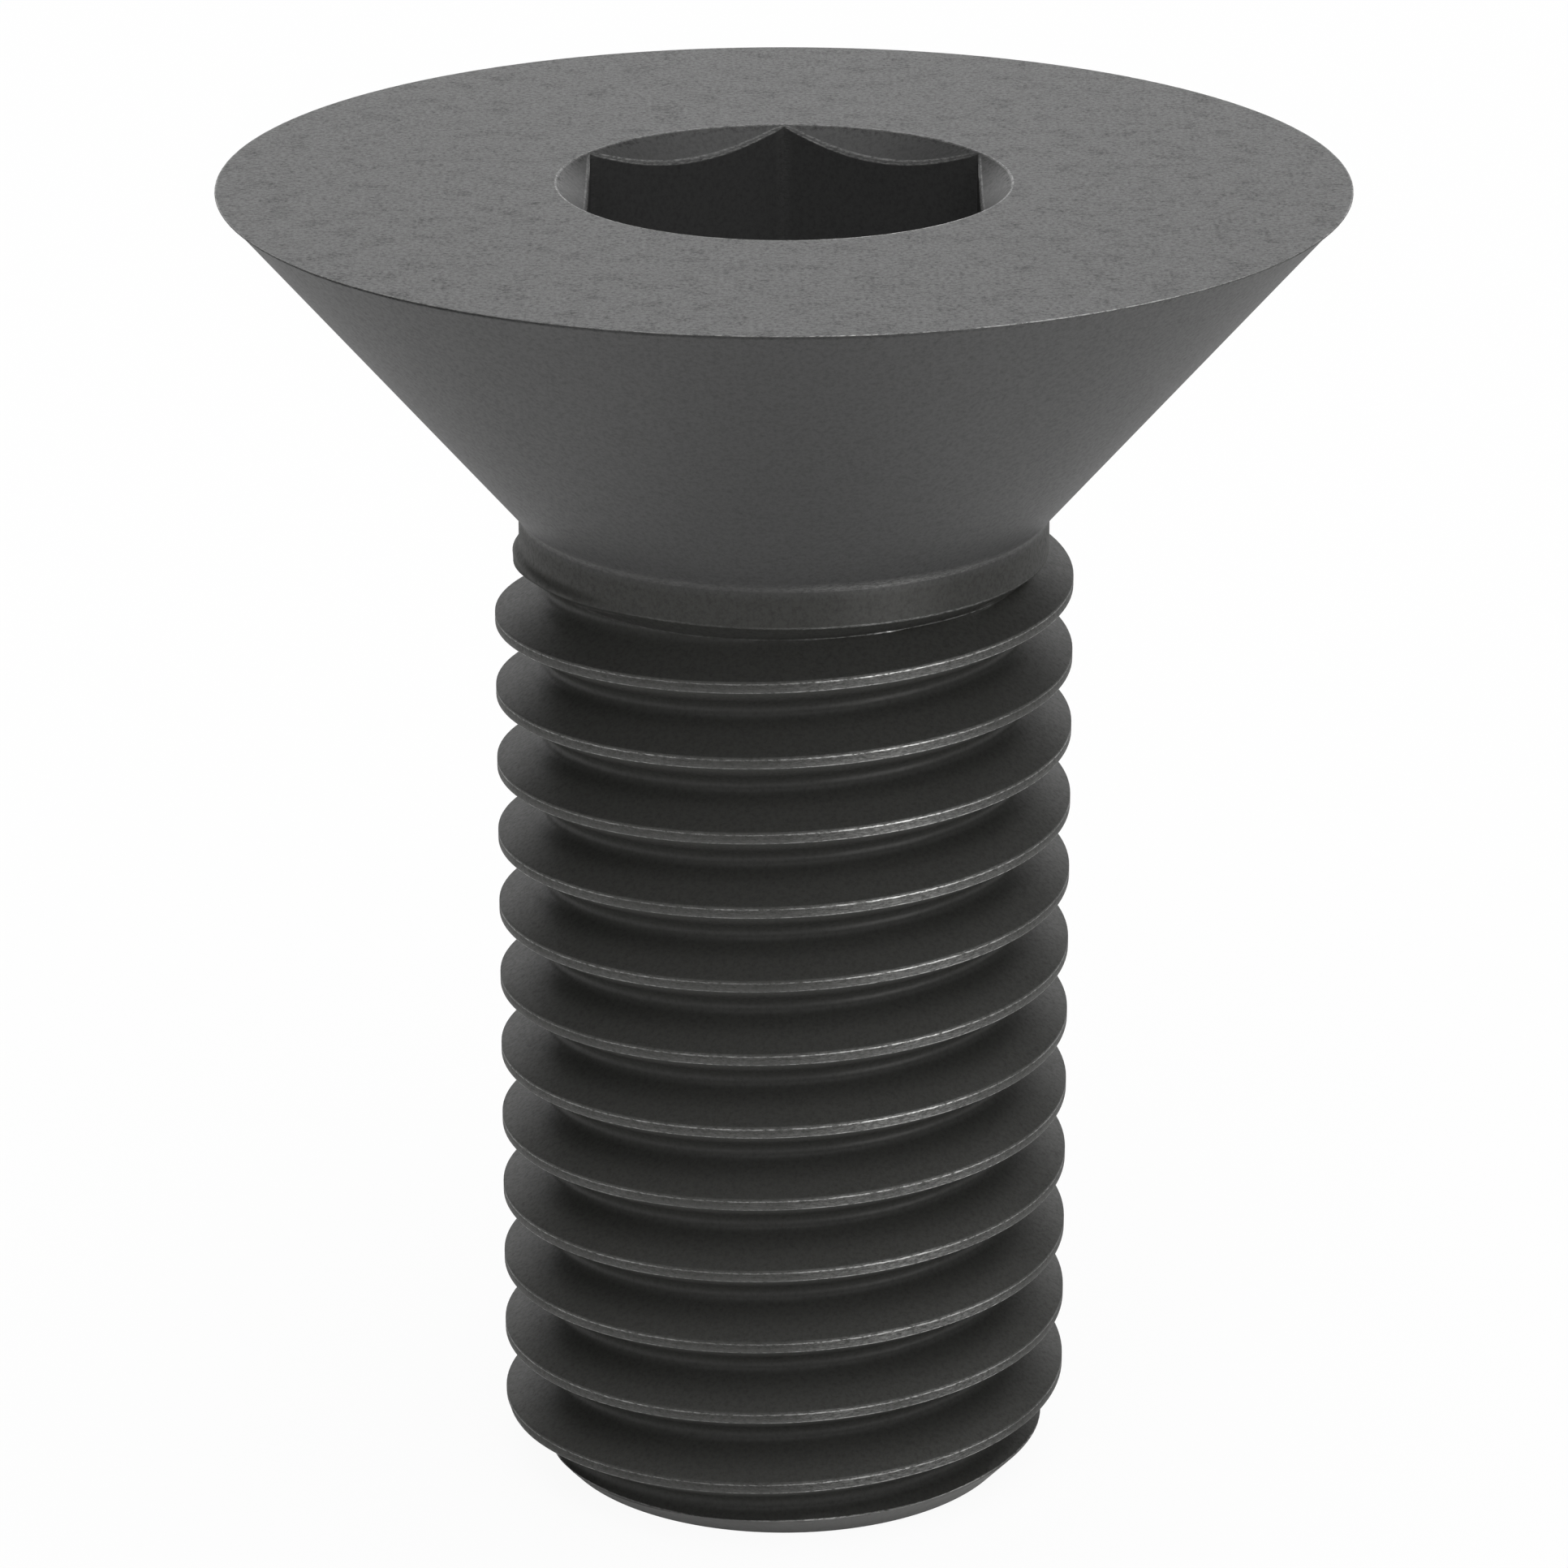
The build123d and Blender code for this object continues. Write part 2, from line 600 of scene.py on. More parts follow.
@dataclass
class HeadAndNeck:
    """Neck, cone, rim, flat top and hexagon socket, turned column by column.

    Sizes are in millimetres and degrees. Wear is the share of a full line of bare metal, which on the
    fillet and the socket's corners is a painted highlight; below zero it is painted shade.
    """

    # The neck and the edge round its foot. The edge's radius is a share of the groove's depth under
    # it, up to a limit, and its wear grows with it.
    neck_radius: float = 8.712
    neck_foot: float = 32.041
    neck_edge: float = 0.12
    edge_share: float = 0.8
    under_edge_wear: float = 0.17
    wear_gain: float = 2.0

    # How far up the neck swells where the thread's ridge runs into it
    swell_rise: float = 0.42

    # The fillet under the head, with a painted highlight along it
    neck_top: float = 33.43
    neck_fillet: float = 0.3
    fillet_highlight: float = 0.09

    # The cone, with its rings as shares of its length
    cone_angle: float = 82.0
    cone_rim_radius: float = 18.287
    cone_rings: tuple[float, ...] = (0.012, 0.125, 0.25, 0.375, 0.5, 0.625, 0.75, 0.875, 0.993, 1.0)

    # The lip round the rim, the degrees between which it is rounded, and how many of its first
    # points carry painted shade, a shadow line under the lip
    lip_radius: float = 18.325
    lip_height: float = 0.06
    lip_edge: float = 0.025
    lip_arc: Ends = (-50.0, 90.0)
    lip_wear: float = 0.5
    lip_shade: float = -1.0
    shaded_points: int = 2

    # The flat top, with one ring halfway across
    top: float = 44.45
    top_ring: float = 13.0

    # The socket's mouth and conical entry
    entry_radius: float = 7.375
    entry_angle: float = 105.0
    entry_edge: float = 0.015
    mouth_arc: Ends = (90.0, 140.0)
    mouth_wear: float = 0.5

    # The brink where the entry meets the flats: its band, the wear of the band's upper edge, middle
    # and lower edge, and the shares of the entry's width that the band and the fade may take
    flat_radius: float = 6.35
    brink_drop: float = 0.05
    brink_band: float = 0.09
    brink_wear: tuple[float, ...] = (0.4, 0.08, 0.5)
    band_room: float = 0.4
    fade_room: float = 0.25

    # The flats, with their rings as shares of their height, and the painted highlight on the hexagon's
    # corners, which starts at some degrees from a flat's middle
    socket_depth: float = 10.0
    wall_rings: tuple[float, ...] = (0.0, 0.1, 0.3, 0.65, 1.0)
    corner_highlight: float = 0.1
    corner_start: float = 29.9

    # Width over which a line of wear fades out, and steps in an arc
    fade: float = 0.04
    arc_steps: int = 4

    @property
    def floor(self) -> float:
        """Height of the socket's floor."""
        return self.top - self.socket_depth

    def arc(self, centre: Spot, radius: float, start: float, end: float) -> list[Spot]:
        """Points of an arc in the lengthwise section.

        Args:
            centre: The arc's centre.
            radius: Its radius.
            start: Where it starts, in degrees from straight out, upwards.
            end: Where it ends.

        Returns:
            The points in order, ends included.
        """
        points = []
        for step in range(self.arc_steps + 1):
            angle = math.radians(start + (end - start) * step / self.arc_steps)
            points.append((centre[0] + radius * math.cos(angle), centre[1] + radius * math.sin(angle)))
        return points

    def under_edge(self, shank_radius: float) -> Section:
        """The neck's foot over one column of the shank.

        Its edge is rounded where the thread's groove runs under it. Where the thread's ridge runs into
        the neck, a low lip swells out instead.

        Args:
            shank_radius: The shank's radius where it meets the neck.

        Returns:
            Points from the edge's foot up the neck.
        """
        swell = shank_radius - self.neck_radius
        points = []
        if swell > 0:
            for step in range(self.arc_steps + 1):
                share = step / self.arc_steps
                radius = self.neck_radius + swell * (1 + math.cos(math.pi * share)) / 2
                points.append((radius, self.neck_foot + self.swell_rise * share, 0.0))
        else:
            edge = min(-swell * self.edge_share, self.neck_edge)
            centre = (self.neck_radius - edge, self.neck_foot + edge)
            wear_and_painted_light = self.under_edge_wear * min(edge / self.neck_edge * self.wear_gain, 1.0)
            points = [(r, z, wear_and_painted_light) for r, z in self.arc(centre, edge, -90, 0)]
        points.append((self.neck_radius, points[-1][1] + self.fade, 0.0))
        return points

    def outside(self) -> Section:
        """The section from the neck, over its fillet, cone, rim and flat top, to the socket's mouth.

        Returns:
            Points from the neck to the mouth.
        """
        half_cone = math.radians(self.cone_angle / 2)
        lift = self.neck_fillet * math.tan(half_cone / 2)
        centre = (self.neck_radius + self.neck_fillet, self.neck_top - lift)
        corner = self.arc(centre, self.neck_fillet, 180, 180 - self.cone_angle / 2)
        section = [(self.neck_radius, corner[0][1] - self.fade, 0.0)]
        # The fillet's points carry a painted highlight
        section += [(r, z, self.fillet_highlight) for r, z in corner]

        rim_foot = self.top - self.lip_height - self.fade
        rim_radius = self.cone_rim_radius - (self.top - rim_foot) * math.tan(half_cone)
        start_radius, start_height = corner[-1]
        for share in self.cone_rings:
            radius = start_radius + (rim_radius - start_radius) * share
            # The cone's last ring and the lip's first points get painted shade, a shadow line under the
            # lip
            wear_and_painted_light = self.lip_shade if share == 1.0 else 0.0
            section.append((radius, start_height + (rim_foot - start_height) * share, wear_and_painted_light))
        edge = self.lip_edge
        lip = self.arc((self.lip_radius - edge, self.top - edge), edge, *self.lip_arc)
        section += [(r, z, self.lip_shade) for r, z in lip[: self.shaded_points]]
        section += [(r, z, self.lip_wear) for r, z in lip[self.shaded_points :]]

        mouth_edge = self.entry_radius + self.entry_edge
        for radius in (self.lip_radius - edge - self.fade, self.top_ring, mouth_edge + self.fade):
            section.append((radius, self.top, 0.0))
        mouth = self.arc((mouth_edge, self.top - self.entry_edge), self.entry_edge, *self.mouth_arc)
        section += [(r, z, self.mouth_wear) for r, z in mouth]
        return section

    def inside(self, angle: float) -> Section:
        """The section of the socket at an angle.

        The entry cone is cut by the flats along a brink that rises to the hexagon's corners. The brink
        is broken by a narrow band with two worn edges.

        Args:
            angle: Angle round the axis in radians; a flat faces the angle 0.

        Returns:
            Points from the entry cone down to the floor's rim.
        """
        sixth = math.tau / 6
        off_flat = (angle + sixth / 2) % sixth - sixth / 2
        wall = self.flat_radius / math.cos(off_flat)
        fall = 1 / math.tan(math.radians(self.entry_angle / 2))
        room = self.entry_radius - self.entry_edge - wall
        brink = self.top - (self.entry_radius - wall) * fall
        band = min(self.brink_band, room * self.band_room)
        drop = min(self.brink_drop, room)
        fade = min(self.fade, room * self.fade_room)
        mouth = self.entry_radius - self.entry_edge - fade
        upper_wear, middle_wear, lower_wear = self.brink_wear
        points = [
            (mouth, self.top - (self.entry_radius - mouth) * fall, 0.0),
            (wall + band + fade, brink + (band + fade) * fall, 0.0),
            (wall + band, brink + band * fall, upper_wear),
            (wall + band * 0.5, brink + (band * fall - drop) * 0.5, middle_wear),
            (wall, brink - drop, lower_wear),
        ]
        wall_top = brink - drop - self.fade
        # A painted highlight on the hexagon's corners
        wear_and_painted_light = self.corner_highlight if math.degrees(abs(off_flat)) > self.corner_start else 0.0
        for share in self.wall_rings:
            points.append((wall, wall_top + (self.floor - wall_top) * share, wear_and_painted_light))
        return points


@dataclass
class Screw:
    """The whole screw as one closed mesh."""

    shank: ThreadedShank
    head: HeadAndNeck

    # Degrees between two faces from which their edge is sharp
    sharp_angle: float = 38.0

    # Radians by which an angle may fall short of a full turn and still count as none
    slack: float = 1e-4

    def angle_of(self, vertex: bmesh.types.BMVert) -> float:
        """A vertex's angle round the axis from +X, with a full turn taken as none."""
        angle = math.atan2(vertex.co.y, vertex.co.x) % math.tau
        return 0.0 if math.tau - angle < self.slack else angle

    def ring(self, mesh: bmesh.types.BMesh, height: float) -> list[bmesh.types.BMVert]:
        """The open edge's vertices at a height.

        Args:
            mesh: The mesh with the open edge.
            height: The height in metres.

        Returns:
            The vertices in order round the axis from +X.
        """
        rim = {vertex for edge in mesh.edges if edge.is_boundary for vertex in edge.verts}
        return sorted((vertex for vertex in rim if abs(vertex.co.z - height) < MERGE), key=self.angle_of)

    def band(self, mesh: bmesh.types.BMesh, lower: list, upper: list) -> None:
        """Joins two rings of vertices with faces.

        Args:
            mesh: The mesh that gets the faces.
            lower: The lower ring.
            upper: The upper ring.
        """
        for i in range(COLUMNS):
            j = (i + 1) % COLUMNS
            mesh.faces.new((lower[i], lower[j], upper[j], upper[i]))

    def close(self, mesh: bmesh.types.BMesh, ring: list, height: float) -> None:
        """Closes a ring with a fan of faces to a point on the axis.

        Args:
            mesh: The mesh that gets the faces.
            ring: The ring of vertices.
            height: Height of the point, in metres.
        """
        tip = mesh.verts.new((0, 0, height))
        for i in range(COLUMNS):
            mesh.faces.new((ring[i], ring[(i + 1) % COLUMNS], tip))

    def turn_head(self, mesh: bmesh.types.BMesh, top_ring: list) -> list:
        """Turns the neck, the head and the socket's walls above the shank, column by column.

        Args:
            mesh: The mesh that gets the faces.
            top_ring: The shank's highest ring of vertices.

        Returns:
            The last ring, round the socket's floor.
        """
        wear_and_light_layer = mesh.verts.layers.float[WEAR_AND_PAINTED_LIGHT]
        cut = mesh.verts.layers.float[CUT]
        angles = [math.tau * i / COLUMNS for i in range(COLUMNS)]
        outside = self.head.outside()
        columns = []
        for vertex, angle in zip(top_ring, angles):
            foot = self.head.under_edge(vertex.co.xy.length / MM)
            columns.append([*foot, *outside, *self.head.inside(angle)])

        below = top_ring
        for level in zip(*columns):
            ring = []
            for angle, (radius, height, wear_and_painted_light) in zip(angles, level):
                spot = (radius * math.cos(angle) * MM, radius * math.sin(angle) * MM, height * MM)
                vertex = mesh.verts.new(spot)
                vertex[wear_and_light_layer] = wear_and_painted_light
                vertex[cut] = UNCUT
                ring.append(vertex)
            self.band(mesh, below, ring)
            below = ring
        return below

    def build(self, material: bpy.types.Material) -> bpy.types.Object:
        """Makes the mesh and its object.

        Args:
            material: The screw's finish.

        Returns:
            The object, at the origin.
        """
        tube = self.shank.mesh(material)
        mesh = bmesh.new()
        mesh.from_mesh(tube)
        bpy.data.meshes.remove(tube)
        mesh.verts.layers.float.new(WEAR_AND_PAINTED_LIGHT)
        top_ring = self.ring(mesh, self.shank.thread_top * MM)
        foot_ring = self.ring(mesh, 0.0)
        log.info("rings of %d and %d vertices", len(top_ring), len(foot_ring))
        floor_ring = self.turn_head(mesh, top_ring)
        self.close(mesh, floor_ring, self.head.floor * MM)
        self.close(mesh, foot_ring, 0.0)

        bmesh.ops.remove_doubles(mesh, verts=mesh.verts, dist=MERGE)
        bmesh.ops.recalc_face_normals(mesh, faces=mesh.faces)
        log.info("open or shared edges: %d", sum(not edge.is_manifold for edge in mesh.edges))

        # The tree gives the shank's faces a second slot, and the mesh has one
        for face in mesh.faces:
            face.smooth = True
            face.material_index = 0
        data = bpy.data.meshes.new("screw_surface")
        mesh.to_mesh(data)
        mesh.free()
        data.materials.append(material)
        data.set_sharp_from_angle(angle=math.radians(self.sharp_angle))
        screw = bpy.data.objects.new("screw_surface", data)
        bpy.context.scene.collection.objects.link(screw)
        log.info("screw: %d vertices, %d faces", len(data.vertices), len(data.polygons))
        return screw


@dataclass(frozen=True)
class Noise:
    """A noise pattern around one half: features in a metre, finer layers, and the strength of those."""

    scale: float
    detail: float
    rough: float

    def on(self, graph: Graph, place: object) -> Value:
        """The pattern's value at a place."""
        inputs = {"Vector": place, "Scale": self.scale, "Detail": self.detail, "Roughness": self.rough}
        return graph.out(graph.node("ShaderNodeTexNoise", None, inputs), "Fac")


@dataclass(frozen=True)
class BlackOxide:
    """Black oxide on steel: matt, finely grained and smudged, rubbed lighter along its edges.

    Heights and radii are in metres, as a shader reads them. Distances on the mesh's layers are in
    millimetres. A pair of numbers is a range, or what a range is mapped to. Highlights, and a shadow
    line under the lip, are painted into the colour.
    """

    # Colours: the oxide, its smudges, tints of the shank and the socket, painted shade under the lip,
    # and bare metal, which also paints highlights
    base: Colour = (0.081, 0.081, 0.0805)
    smudge: Colour = (0.045, 0.045, 0.045)
    shank_tint: Colour = (0.68, 0.68, 0.64)
    socket_tint: Colour = (0.74, 0.74, 0.74)
    painted_shade: Colour = (0.02, 0.02, 0.02)
    bare_and_highlight: Colour = (0.42, 0.42, 0.41)

    # Where the flat top, the shank and the socket begin and end
    top_heights: Ends = (0.04425, 0.04435)
    shank_heights: Ends = (0.033, 0.0336)
    socket_heights: Ends = (0.034, 0.0341)
    socket_radius: float = 0.00734

    # Patterns, and how far the streaks are drawn together along the axis
    smudges: Noise = Noise(900.0, 7.0, 0.75)
    grain: Noise = Noise(6500.0, 3.0, 0.8)
    streaks: Noise = Noise(5200.0, 4.0, 0.75)
    patches: Noise = Noise(260.0, 2.0, 0.5)
    streak: float = 4.0

    # Smudges and speckles, which are stronger on the flat top, and an even share of smudge
    smudge_range: Ends = (0.5, 0.72)
    smudge_depth: float = 0.8
    smudge_off_top: float = 0.1
    smudge_even: float = 0.1
    speckle: float = 1.9
    speckle_on_top: float = 2.0
    bump_strength: float = 0.1
    bump_height: float = 0.00002

    # Shine, and what smudges, speckles, the shank and the painted shade take from it
    gloss: float = 0.3
    smudge_dulls: float = 0.28
    speckle_dulls: float = 0.6
    shank_dulls: float = 0.3
    shade_dulls: float = 0.7
    metal_gloss: float = 0.5
    metallic: float = 0.6
    roughness: float = 0.36
    roughness_change: float = 0.08

    # The lit side; how the wear and its painted highlight, and the painted shade, change with the turn
    # away from it, and how the wear changes in patches
    lit_side: tuple[float, float, float] = (0.45, -0.89, 0.0)
    highlight_side: Ends = (0.88, 1.0)
    highlight_by_side: Ends = (0.57, 1.8)
    patch_range: Ends = (0.35, 0.65)
    wear_by_patch: Ends = (0.6, 1.3)
    streak_range: Ends = (0.4, 0.64)
    wear_by_streak: Ends = (0.1, 1.7)
    shade_side: Ends = (0.5, 0.9)
    shade_by_side: Ends = (1.0, 0.2)

    # Lines along the crest's lower and upper edges, and the faint wear of its flat between them
    crest_lower: float = -0.19
    crest_upper: float = 0.1
    crest_line: float = 0.035
    crest_wear: float = 0.85
    flat_range: Ends = (0.17, 0.2)
    flat_wear: float = 0.1

    # The point's turned face, lighter from its finish and from a painted reflection of the floor, and
    # the line along its edge
    turned_line: float = 0.07
    turned_wear: float = 0.8
    turned_range: Ends = (-0.02, 0.02)
    turned_finish_and_highlight: float = 0.29

    # The painted highlight that runs along the groove under the neck's foot
    foot_highlight_heights: Ends = (0.0311, 0.03186)
    foot_highlight_side: Ends = (0.89, 0.99)
    foot_highlight_by_side: Ends = (0.2, 0.75)
    foot_highlight_line: float = 0.05

    def material(self) -> bpy.types.Material:
        """Builds the node material, a matt shader with a share of a glossy one over it.

        Returns:
            The material.
        """
        material = bpy.data.materials.new("black oxide steel")
        material.use_nodes = True
        graph = Graph(material.node_tree)
        place = graph.node("ShaderNodeTexCoord").outputs["Object"]
        height = graph.axis(place, "Z")
        on_top = graph.spread(height, self.top_heights)
        on_shank = graph.spread(height, self.shank_heights, (1.0, 0.0))
        radius = graph.vector("LENGTH", graph.level(place))
        in_socket = (radius < self.socket_radius) * graph.spread(height, self.socket_heights)

        smudges = self.smudges.on(graph, place)
        grain = self.grain.on(graph, place) - 0.5
        smudged = graph.spread(smudges, self.smudge_range, (0.0, self.smudge_depth))
        darker = smudged * (self.smudge_off_top + on_top * (1.0 - self.smudge_off_top))
        speckle = grain * (self.speckle + on_top * self.speckle_on_top)
        # Painted shade under the lip, which fades towards the lit side
        by_side = graph.spread(graph.side(place, self.lit_side), self.shade_side, self.shade_by_side)
        painted_shade = graph.clamp(-self.layer(graph, WEAR_AND_PAINTED_LIGHT)) * by_side
        bare_and_highlight = self.wear_and_painted_light(graph, place)

        darkened = graph.clamp(darker + speckle + self.smudge_even)
        colour = graph.mix(darkened, (*self.base, 1.0), (*self.smudge, 1.0))
        colour = graph.mix(on_shank, colour, (*self.shank_tint, 1.0), "MULTIPLY")
        colour = graph.mix(in_socket, colour, (*self.socket_tint, 1.0), "MULTIPLY")
        colour = graph.mix(painted_shade, colour, (*self.painted_shade, 1.0))
        # Bare metal where worn, and painted highlights in the same light colour
        colour = graph.mix(bare_and_highlight, colour, (*self.bare_and_highlight, 1.0))
        change = self.roughness_change
        roughness = self.roughness + (smudges - 0.5) * change - bare_and_highlight * change
        dulled = 1.0 - darker * self.smudge_dulls - speckle * self.speckle_dulls
        dulled = dulled - on_shank * self.shank_dulls - painted_shade * self.shade_dulls
        share = self.gloss * dulled + bare_and_highlight * self.metal_gloss

        relief = {"Strength": self.bump_strength, "Distance": self.bump_height, "Height": grain}
        bump = graph.node("ShaderNodeBump", None, relief)
        skin = {"Base Color": colour, "Normal": bump.outputs["Normal"]}
        dull = {**skin, "Roughness": 1.0, "Specular IOR Level": 0.0}
        shiny = {**skin, "Roughness": roughness, "Metallic": bare_and_highlight * self.metallic}
        matt = graph.node("ShaderNodeBsdfPrincipled", None, dull)
        glossy = graph.node("ShaderNodeBsdfPrincipled", None, shiny)
        shaders = {0: share, 1: matt.outputs[0], 2: glossy.outputs[0]}
        surface = graph.node("ShaderNodeMixShader", None, shaders)
        graph.node("ShaderNodeOutputMaterial", None, {"Surface": surface.outputs[0]})
        return material

    def wear_and_painted_light(self, graph: Graph, place: bpy.types.NodeSocket) -> Value:
        """How far the oxide is rubbed off.

        Edges are rubbed in streaks and specks, more in patches, and more towards the lit side, where the
        extra is a painted highlight. A painted highlight runs in the groove under the neck's foot. The
        point's turned face is lighter from its finish and from a painted reflection of the floor, and the
        thread's groove has an even painted highlight.

        Args:
            graph: The tree for the nodes.
            place: The socket of the surface's coordinates.

        Returns:
            The share of bare metal.
        """
        side = graph.side(place, self.lit_side)
        patches = graph.spread(self.patches.on(graph, place), self.patch_range, self.wear_by_patch)
        # Edges are lighter towards the lit side, a painted highlight on top of the wear; the wear also
        # varies in patches
        more = graph.spread(side, self.highlight_side, self.highlight_by_side) * patches
        streaks = self.streaks.on(graph, graph.vector("MULTIPLY", place, (1.0, 1.0, self.streak)))
        broken = graph.spread(streaks, self.streak_range, self.wear_by_streak)

        across = self.layer(graph, SIDE)
        lower = graph.line(across - self.crest_lower, self.crest_line)
        upper = graph.line(across - self.crest_upper, self.crest_line)
        face = graph.spread(graph.size(across), self.flat_range, (self.flat_wear, 0.0))
        crest = graph.most(graph.most(lower, upper) * self.crest_wear, face) * self.layer(graph, CREST)

        cut = self.layer(graph, CUT)
        turned_edge = graph.line(cut, self.turned_line) * self.turned_wear
        # The turned face's lighter finish, with a painted reflection of the floor
        turned_face = graph.spread(cut, self.turned_range, (0.0, self.turned_finish_and_highlight))

        # A painted highlight line in the groove under the neck's foot, brighter towards the lit side
        height = graph.axis(place, "Z")
        foot_highlight_low, foot_highlight_high = self.foot_highlight_heights
        foot_highlight = graph.spread(side, self.foot_highlight_side, self.foot_highlight_by_side)
        foot_highlight = foot_highlight * (height < foot_highlight_high) * (height > foot_highlight_low)
        foot_highlight = foot_highlight * graph.line(self.layer(graph, FOOT), self.foot_highlight_line)

        edges = graph.most(graph.most(self.layer(graph, WEAR_AND_PAINTED_LIGHT), crest), graph.most(turned_edge, foot_highlight))
        return graph.clamp(edges * broken * more + turned_face + self.layer(graph, PAINTED_GROOVE_LIGHT))

    def layer(self, graph: Graph, name: str) -> Value:
        """One of the mesh's own layers, read by its name."""
        return graph.out(graph.node("ShaderNodeAttribute", {"attribute_name": name}), "Fac")


@dataclass
class Studio:
    """White floor and surroundings, light from soft panels, and the camera of the photograph.

    The panels are part of the surroundings: one above, one in front, a weaker one on the right and a
    low one behind. Reflections also show a bright patch of the floor on the right, in front.
    """

    # Camera: lengths in millimetres, but the focal length in pixels and the clipping in metres
    distance: float = 226.57
    elevation: float = 19.68
    aim_height: float = 23.767
    focal_pixels: float = 8386.7
    image_size: int = 1932
    sensor: float = 36.0
    clip: Ends = (0.01, 20.0)

    # Floor: its width in metres, how white it is, and how much of the shadow the camera sees
    floor_size: float = 6.0
    floor_white: float = 0.9
    shadow_kept: float = 0.06

    # What reflections of the floor show: an even light, and a bright patch towards one side, whose
    # start is in metres from the screw
    floor_gloss: float = 0.44
    floor_card: float = 3.5
    card_side: tuple[float, float, float] = (0.71, -0.71, 0.0)
    card_width: Ends = (0.92, 0.98)
    card_start: Ends = (0.03, 0.05)

    # Strengths of the panels, and elevations between which the ones at the sides and behind stand
    above: float = 2.08
    front: float = 1.8
    right: float = 0.9
    behind: float = 2.9
    side_elevations: Ends = (25.0, 60.0)
    back_elevations: Ends = (-10.0, 25.0)

    # Sine of the elevation where the panel above starts, and how much narrower the one behind is
    above_start: float = 0.866
    back_narrower: float = 1.3
    soft: float = 0.08

    def floor(self) -> bpy.types.Object:
        """A wide white floor that shows nearly white and keeps a faint shadow.

        Returns:
            The floor.
        """
        data = bpy.data.meshes.new("floor")
        half = self.floor_size / 2
        corners = [(-half, -half, 0), (half, -half, 0), (half, half, 0), (-half, half, 0)]
        data.from_pydata(corners, [], [(0, 1, 2, 3)])
        floor = bpy.data.objects.new("floor", data)
        bpy.context.scene.collection.objects.link(floor)
        data.materials.append(self.floor_material())
        return floor

    def floor_material(self) -> bpy.types.Material:
        """White, with its own light for the camera and for reflections.

        Returns:
            The material.
        """
        material = bpy.data.materials.new("white floor")
        material.use_nodes = True
        graph = Graph(material.node_tree)
        ray = graph.node("ShaderNodeLightPath")
        place = graph.node("ShaderNodeTexCoord").outputs["Object"]
        card = graph.spread(graph.side(place, self.card_side), self.card_width, (0.0, self.floor_card))
        card = card * graph.spread(graph.vector("LENGTH", place), self.card_start)
        mirrored = graph.out(ray, "Is Glossy Ray") * (card + self.floor_gloss)
        seen = graph.out(ray, "Is Camera Ray") * (1 - self.shadow_kept)

        white = self.floor_white
        matt = graph.node("ShaderNodeBsdfDiffuse", None, {"Color": (white, white, white, 1.0)})
        sheen = graph.node("ShaderNodeEmission", None, {"Color": WHITE, "Strength": mirrored})
        glow = graph.node("ShaderNodeEmission", None, {"Color": WHITE, "Strength": 1.0})
        lit = graph.node("ShaderNodeAddShader", None, {0: matt.outputs[0], 1: sheen.outputs[0]})
        mixed = graph.node("ShaderNodeMixShader", None, {0: seen, 1: lit.outputs[0], 2: glow.outputs[0]})
        graph.node("ShaderNodeOutputMaterial", None, {"Surface": mixed.outputs[0]})
        return material

    def panel(self, graph: Graph, rise: Value, elevations: Ends) -> Value:
        """A band of light all round, with soft edges.

        Args:
            graph: The tree for the nodes.
            rise: Sine of the elevation.
            elevations: The degrees at which the band starts and ends.

        Returns:
            One in the band, and zero outside it.
        """
        foot, top = (math.sin(math.radians(elevation)) for elevation in elevations)
        lower = graph.spread(rise, (foot - self.soft, foot + self.soft))
        upper = graph.spread(rise, (top - self.soft, top + self.soft), (1.0, 0.0))
        return lower * upper

    def world(self) -> None:
        """The soft panels, in surroundings that the camera sees as white."""
        world = bpy.data.worlds.new("soft panels")
        bpy.context.scene.world = world
        world.use_nodes = True
        graph = Graph(world.node_tree)
        way = graph.node("ShaderNodeTexCoord").outputs["Generated"]
        across, back, rise = (graph.axis(way, name) for name in "XYZ")
        sideways = graph.size(across)
        soft = (-self.soft, self.soft)
        in_front = graph.spread(-back - sideways, soft, (0.0, self.front))
        on_right = graph.spread(across - graph.size(back), soft, (0.0, self.right))
        at_back = graph.spread(back - self.back_narrower * sideways, soft, (0.0, self.behind))
        above_ends = (self.above_start - self.soft, self.above_start + self.soft)
        overhead = graph.spread(rise, above_ends, (0.0, self.above))
        around = self.panel(graph, rise, self.side_elevations) * (in_front + on_right)
        light = around + self.panel(graph, rise, self.back_elevations) * at_back + overhead
        seen = graph.out(graph.node("ShaderNodeLightPath"), "Is Camera Ray")
        shown = {"Color": WHITE, "Strength": graph.choose(seen, 1.0, light)}
        lit = graph.node("ShaderNodeBackground", None, shown)
        graph.node("ShaderNodeOutputWorld", None, {"Surface": lit.outputs[0]})

    def camera(self) -> bpy.types.Object:
        """The photograph's view.

        Returns:
            The camera.
        """
        data = bpy.data.cameras.new("camera")
        data.sensor_fit = "HORIZONTAL"
        data.sensor_width = self.sensor
        data.lens = self.focal_pixels * self.sensor / self.image_size
        data.clip_start, data.clip_end = self.clip
        camera = bpy.data.objects.new("camera", data)
        tilt = math.radians(self.elevation)
        aim = Vector((0, 0, self.aim_height * MM))
        camera.location = aim + Vector((0, -math.cos(tilt), math.sin(tilt))) * self.distance * MM
        camera.rotation_euler = (math.pi / 2 - tilt, 0, 0)
        bpy.context.scene.collection.objects.link(camera)
        bpy.context.scene.camera = camera
        return camera

    def build(self) -> None:
        """Sets the stage."""
        self.floor()
        self.world()
        self.camera()
        bpy.context.scene.view_settings.view_transform = "Standard"


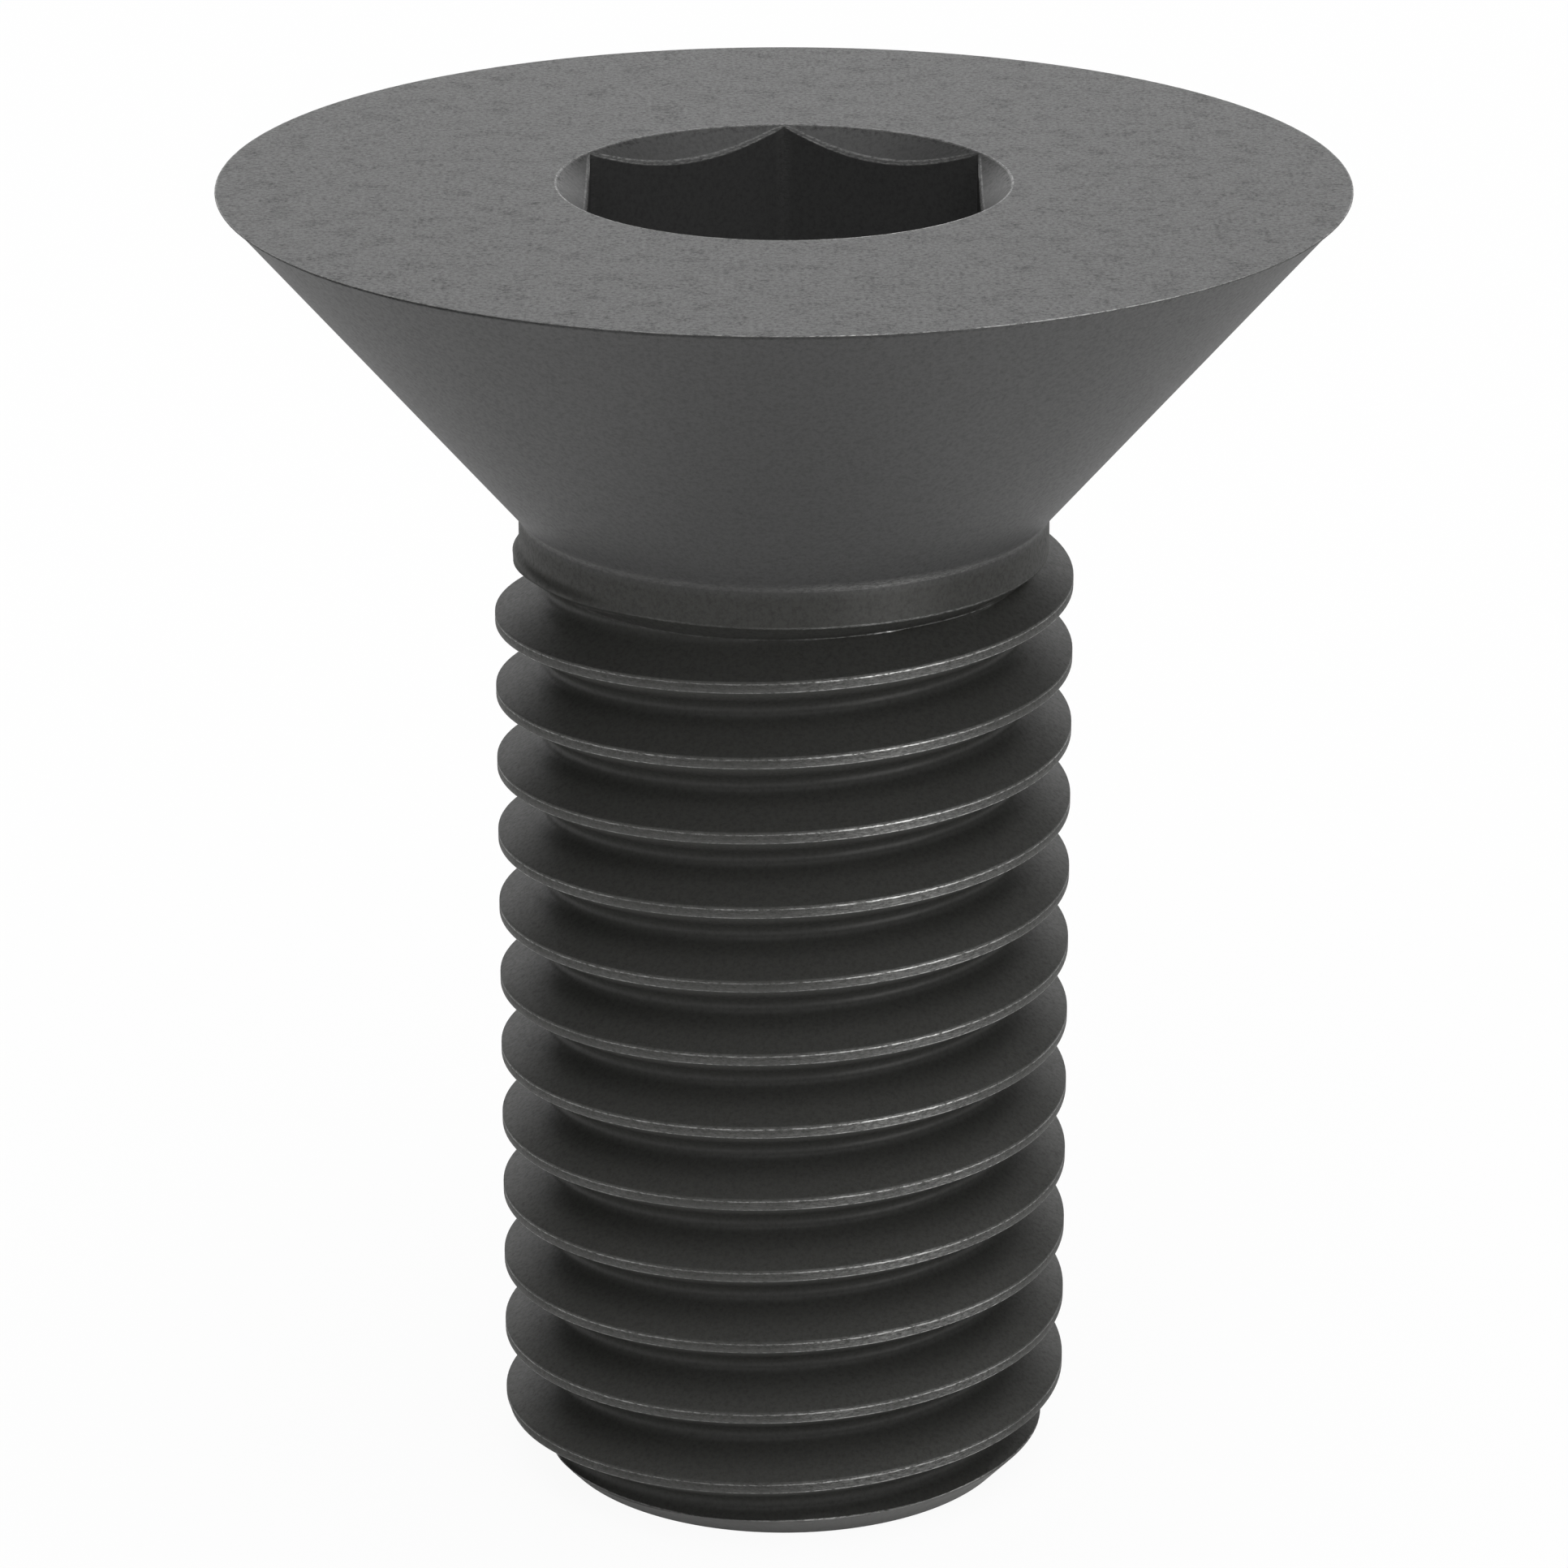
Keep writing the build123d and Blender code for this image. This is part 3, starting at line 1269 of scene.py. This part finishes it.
def main() -> None:
    """Loads the frame, dresses the screw and sets the stage."""
    logging.basicConfig(level=logging.INFO, format="%(name)s: %(message)s")
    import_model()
    finish = BlackOxide().material()
    shank = ThreadedShank()
    head = HeadAndNeck()
    screw = Screw(shank, head).build(finish)
    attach(screw, "root")
    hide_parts(NODE)
    log.info("piece %s, which replaces %s", screw.name, NODE)
    Studio().build()
    log.info("floor, panels and camera")


if __name__ == "__main__":
    main()
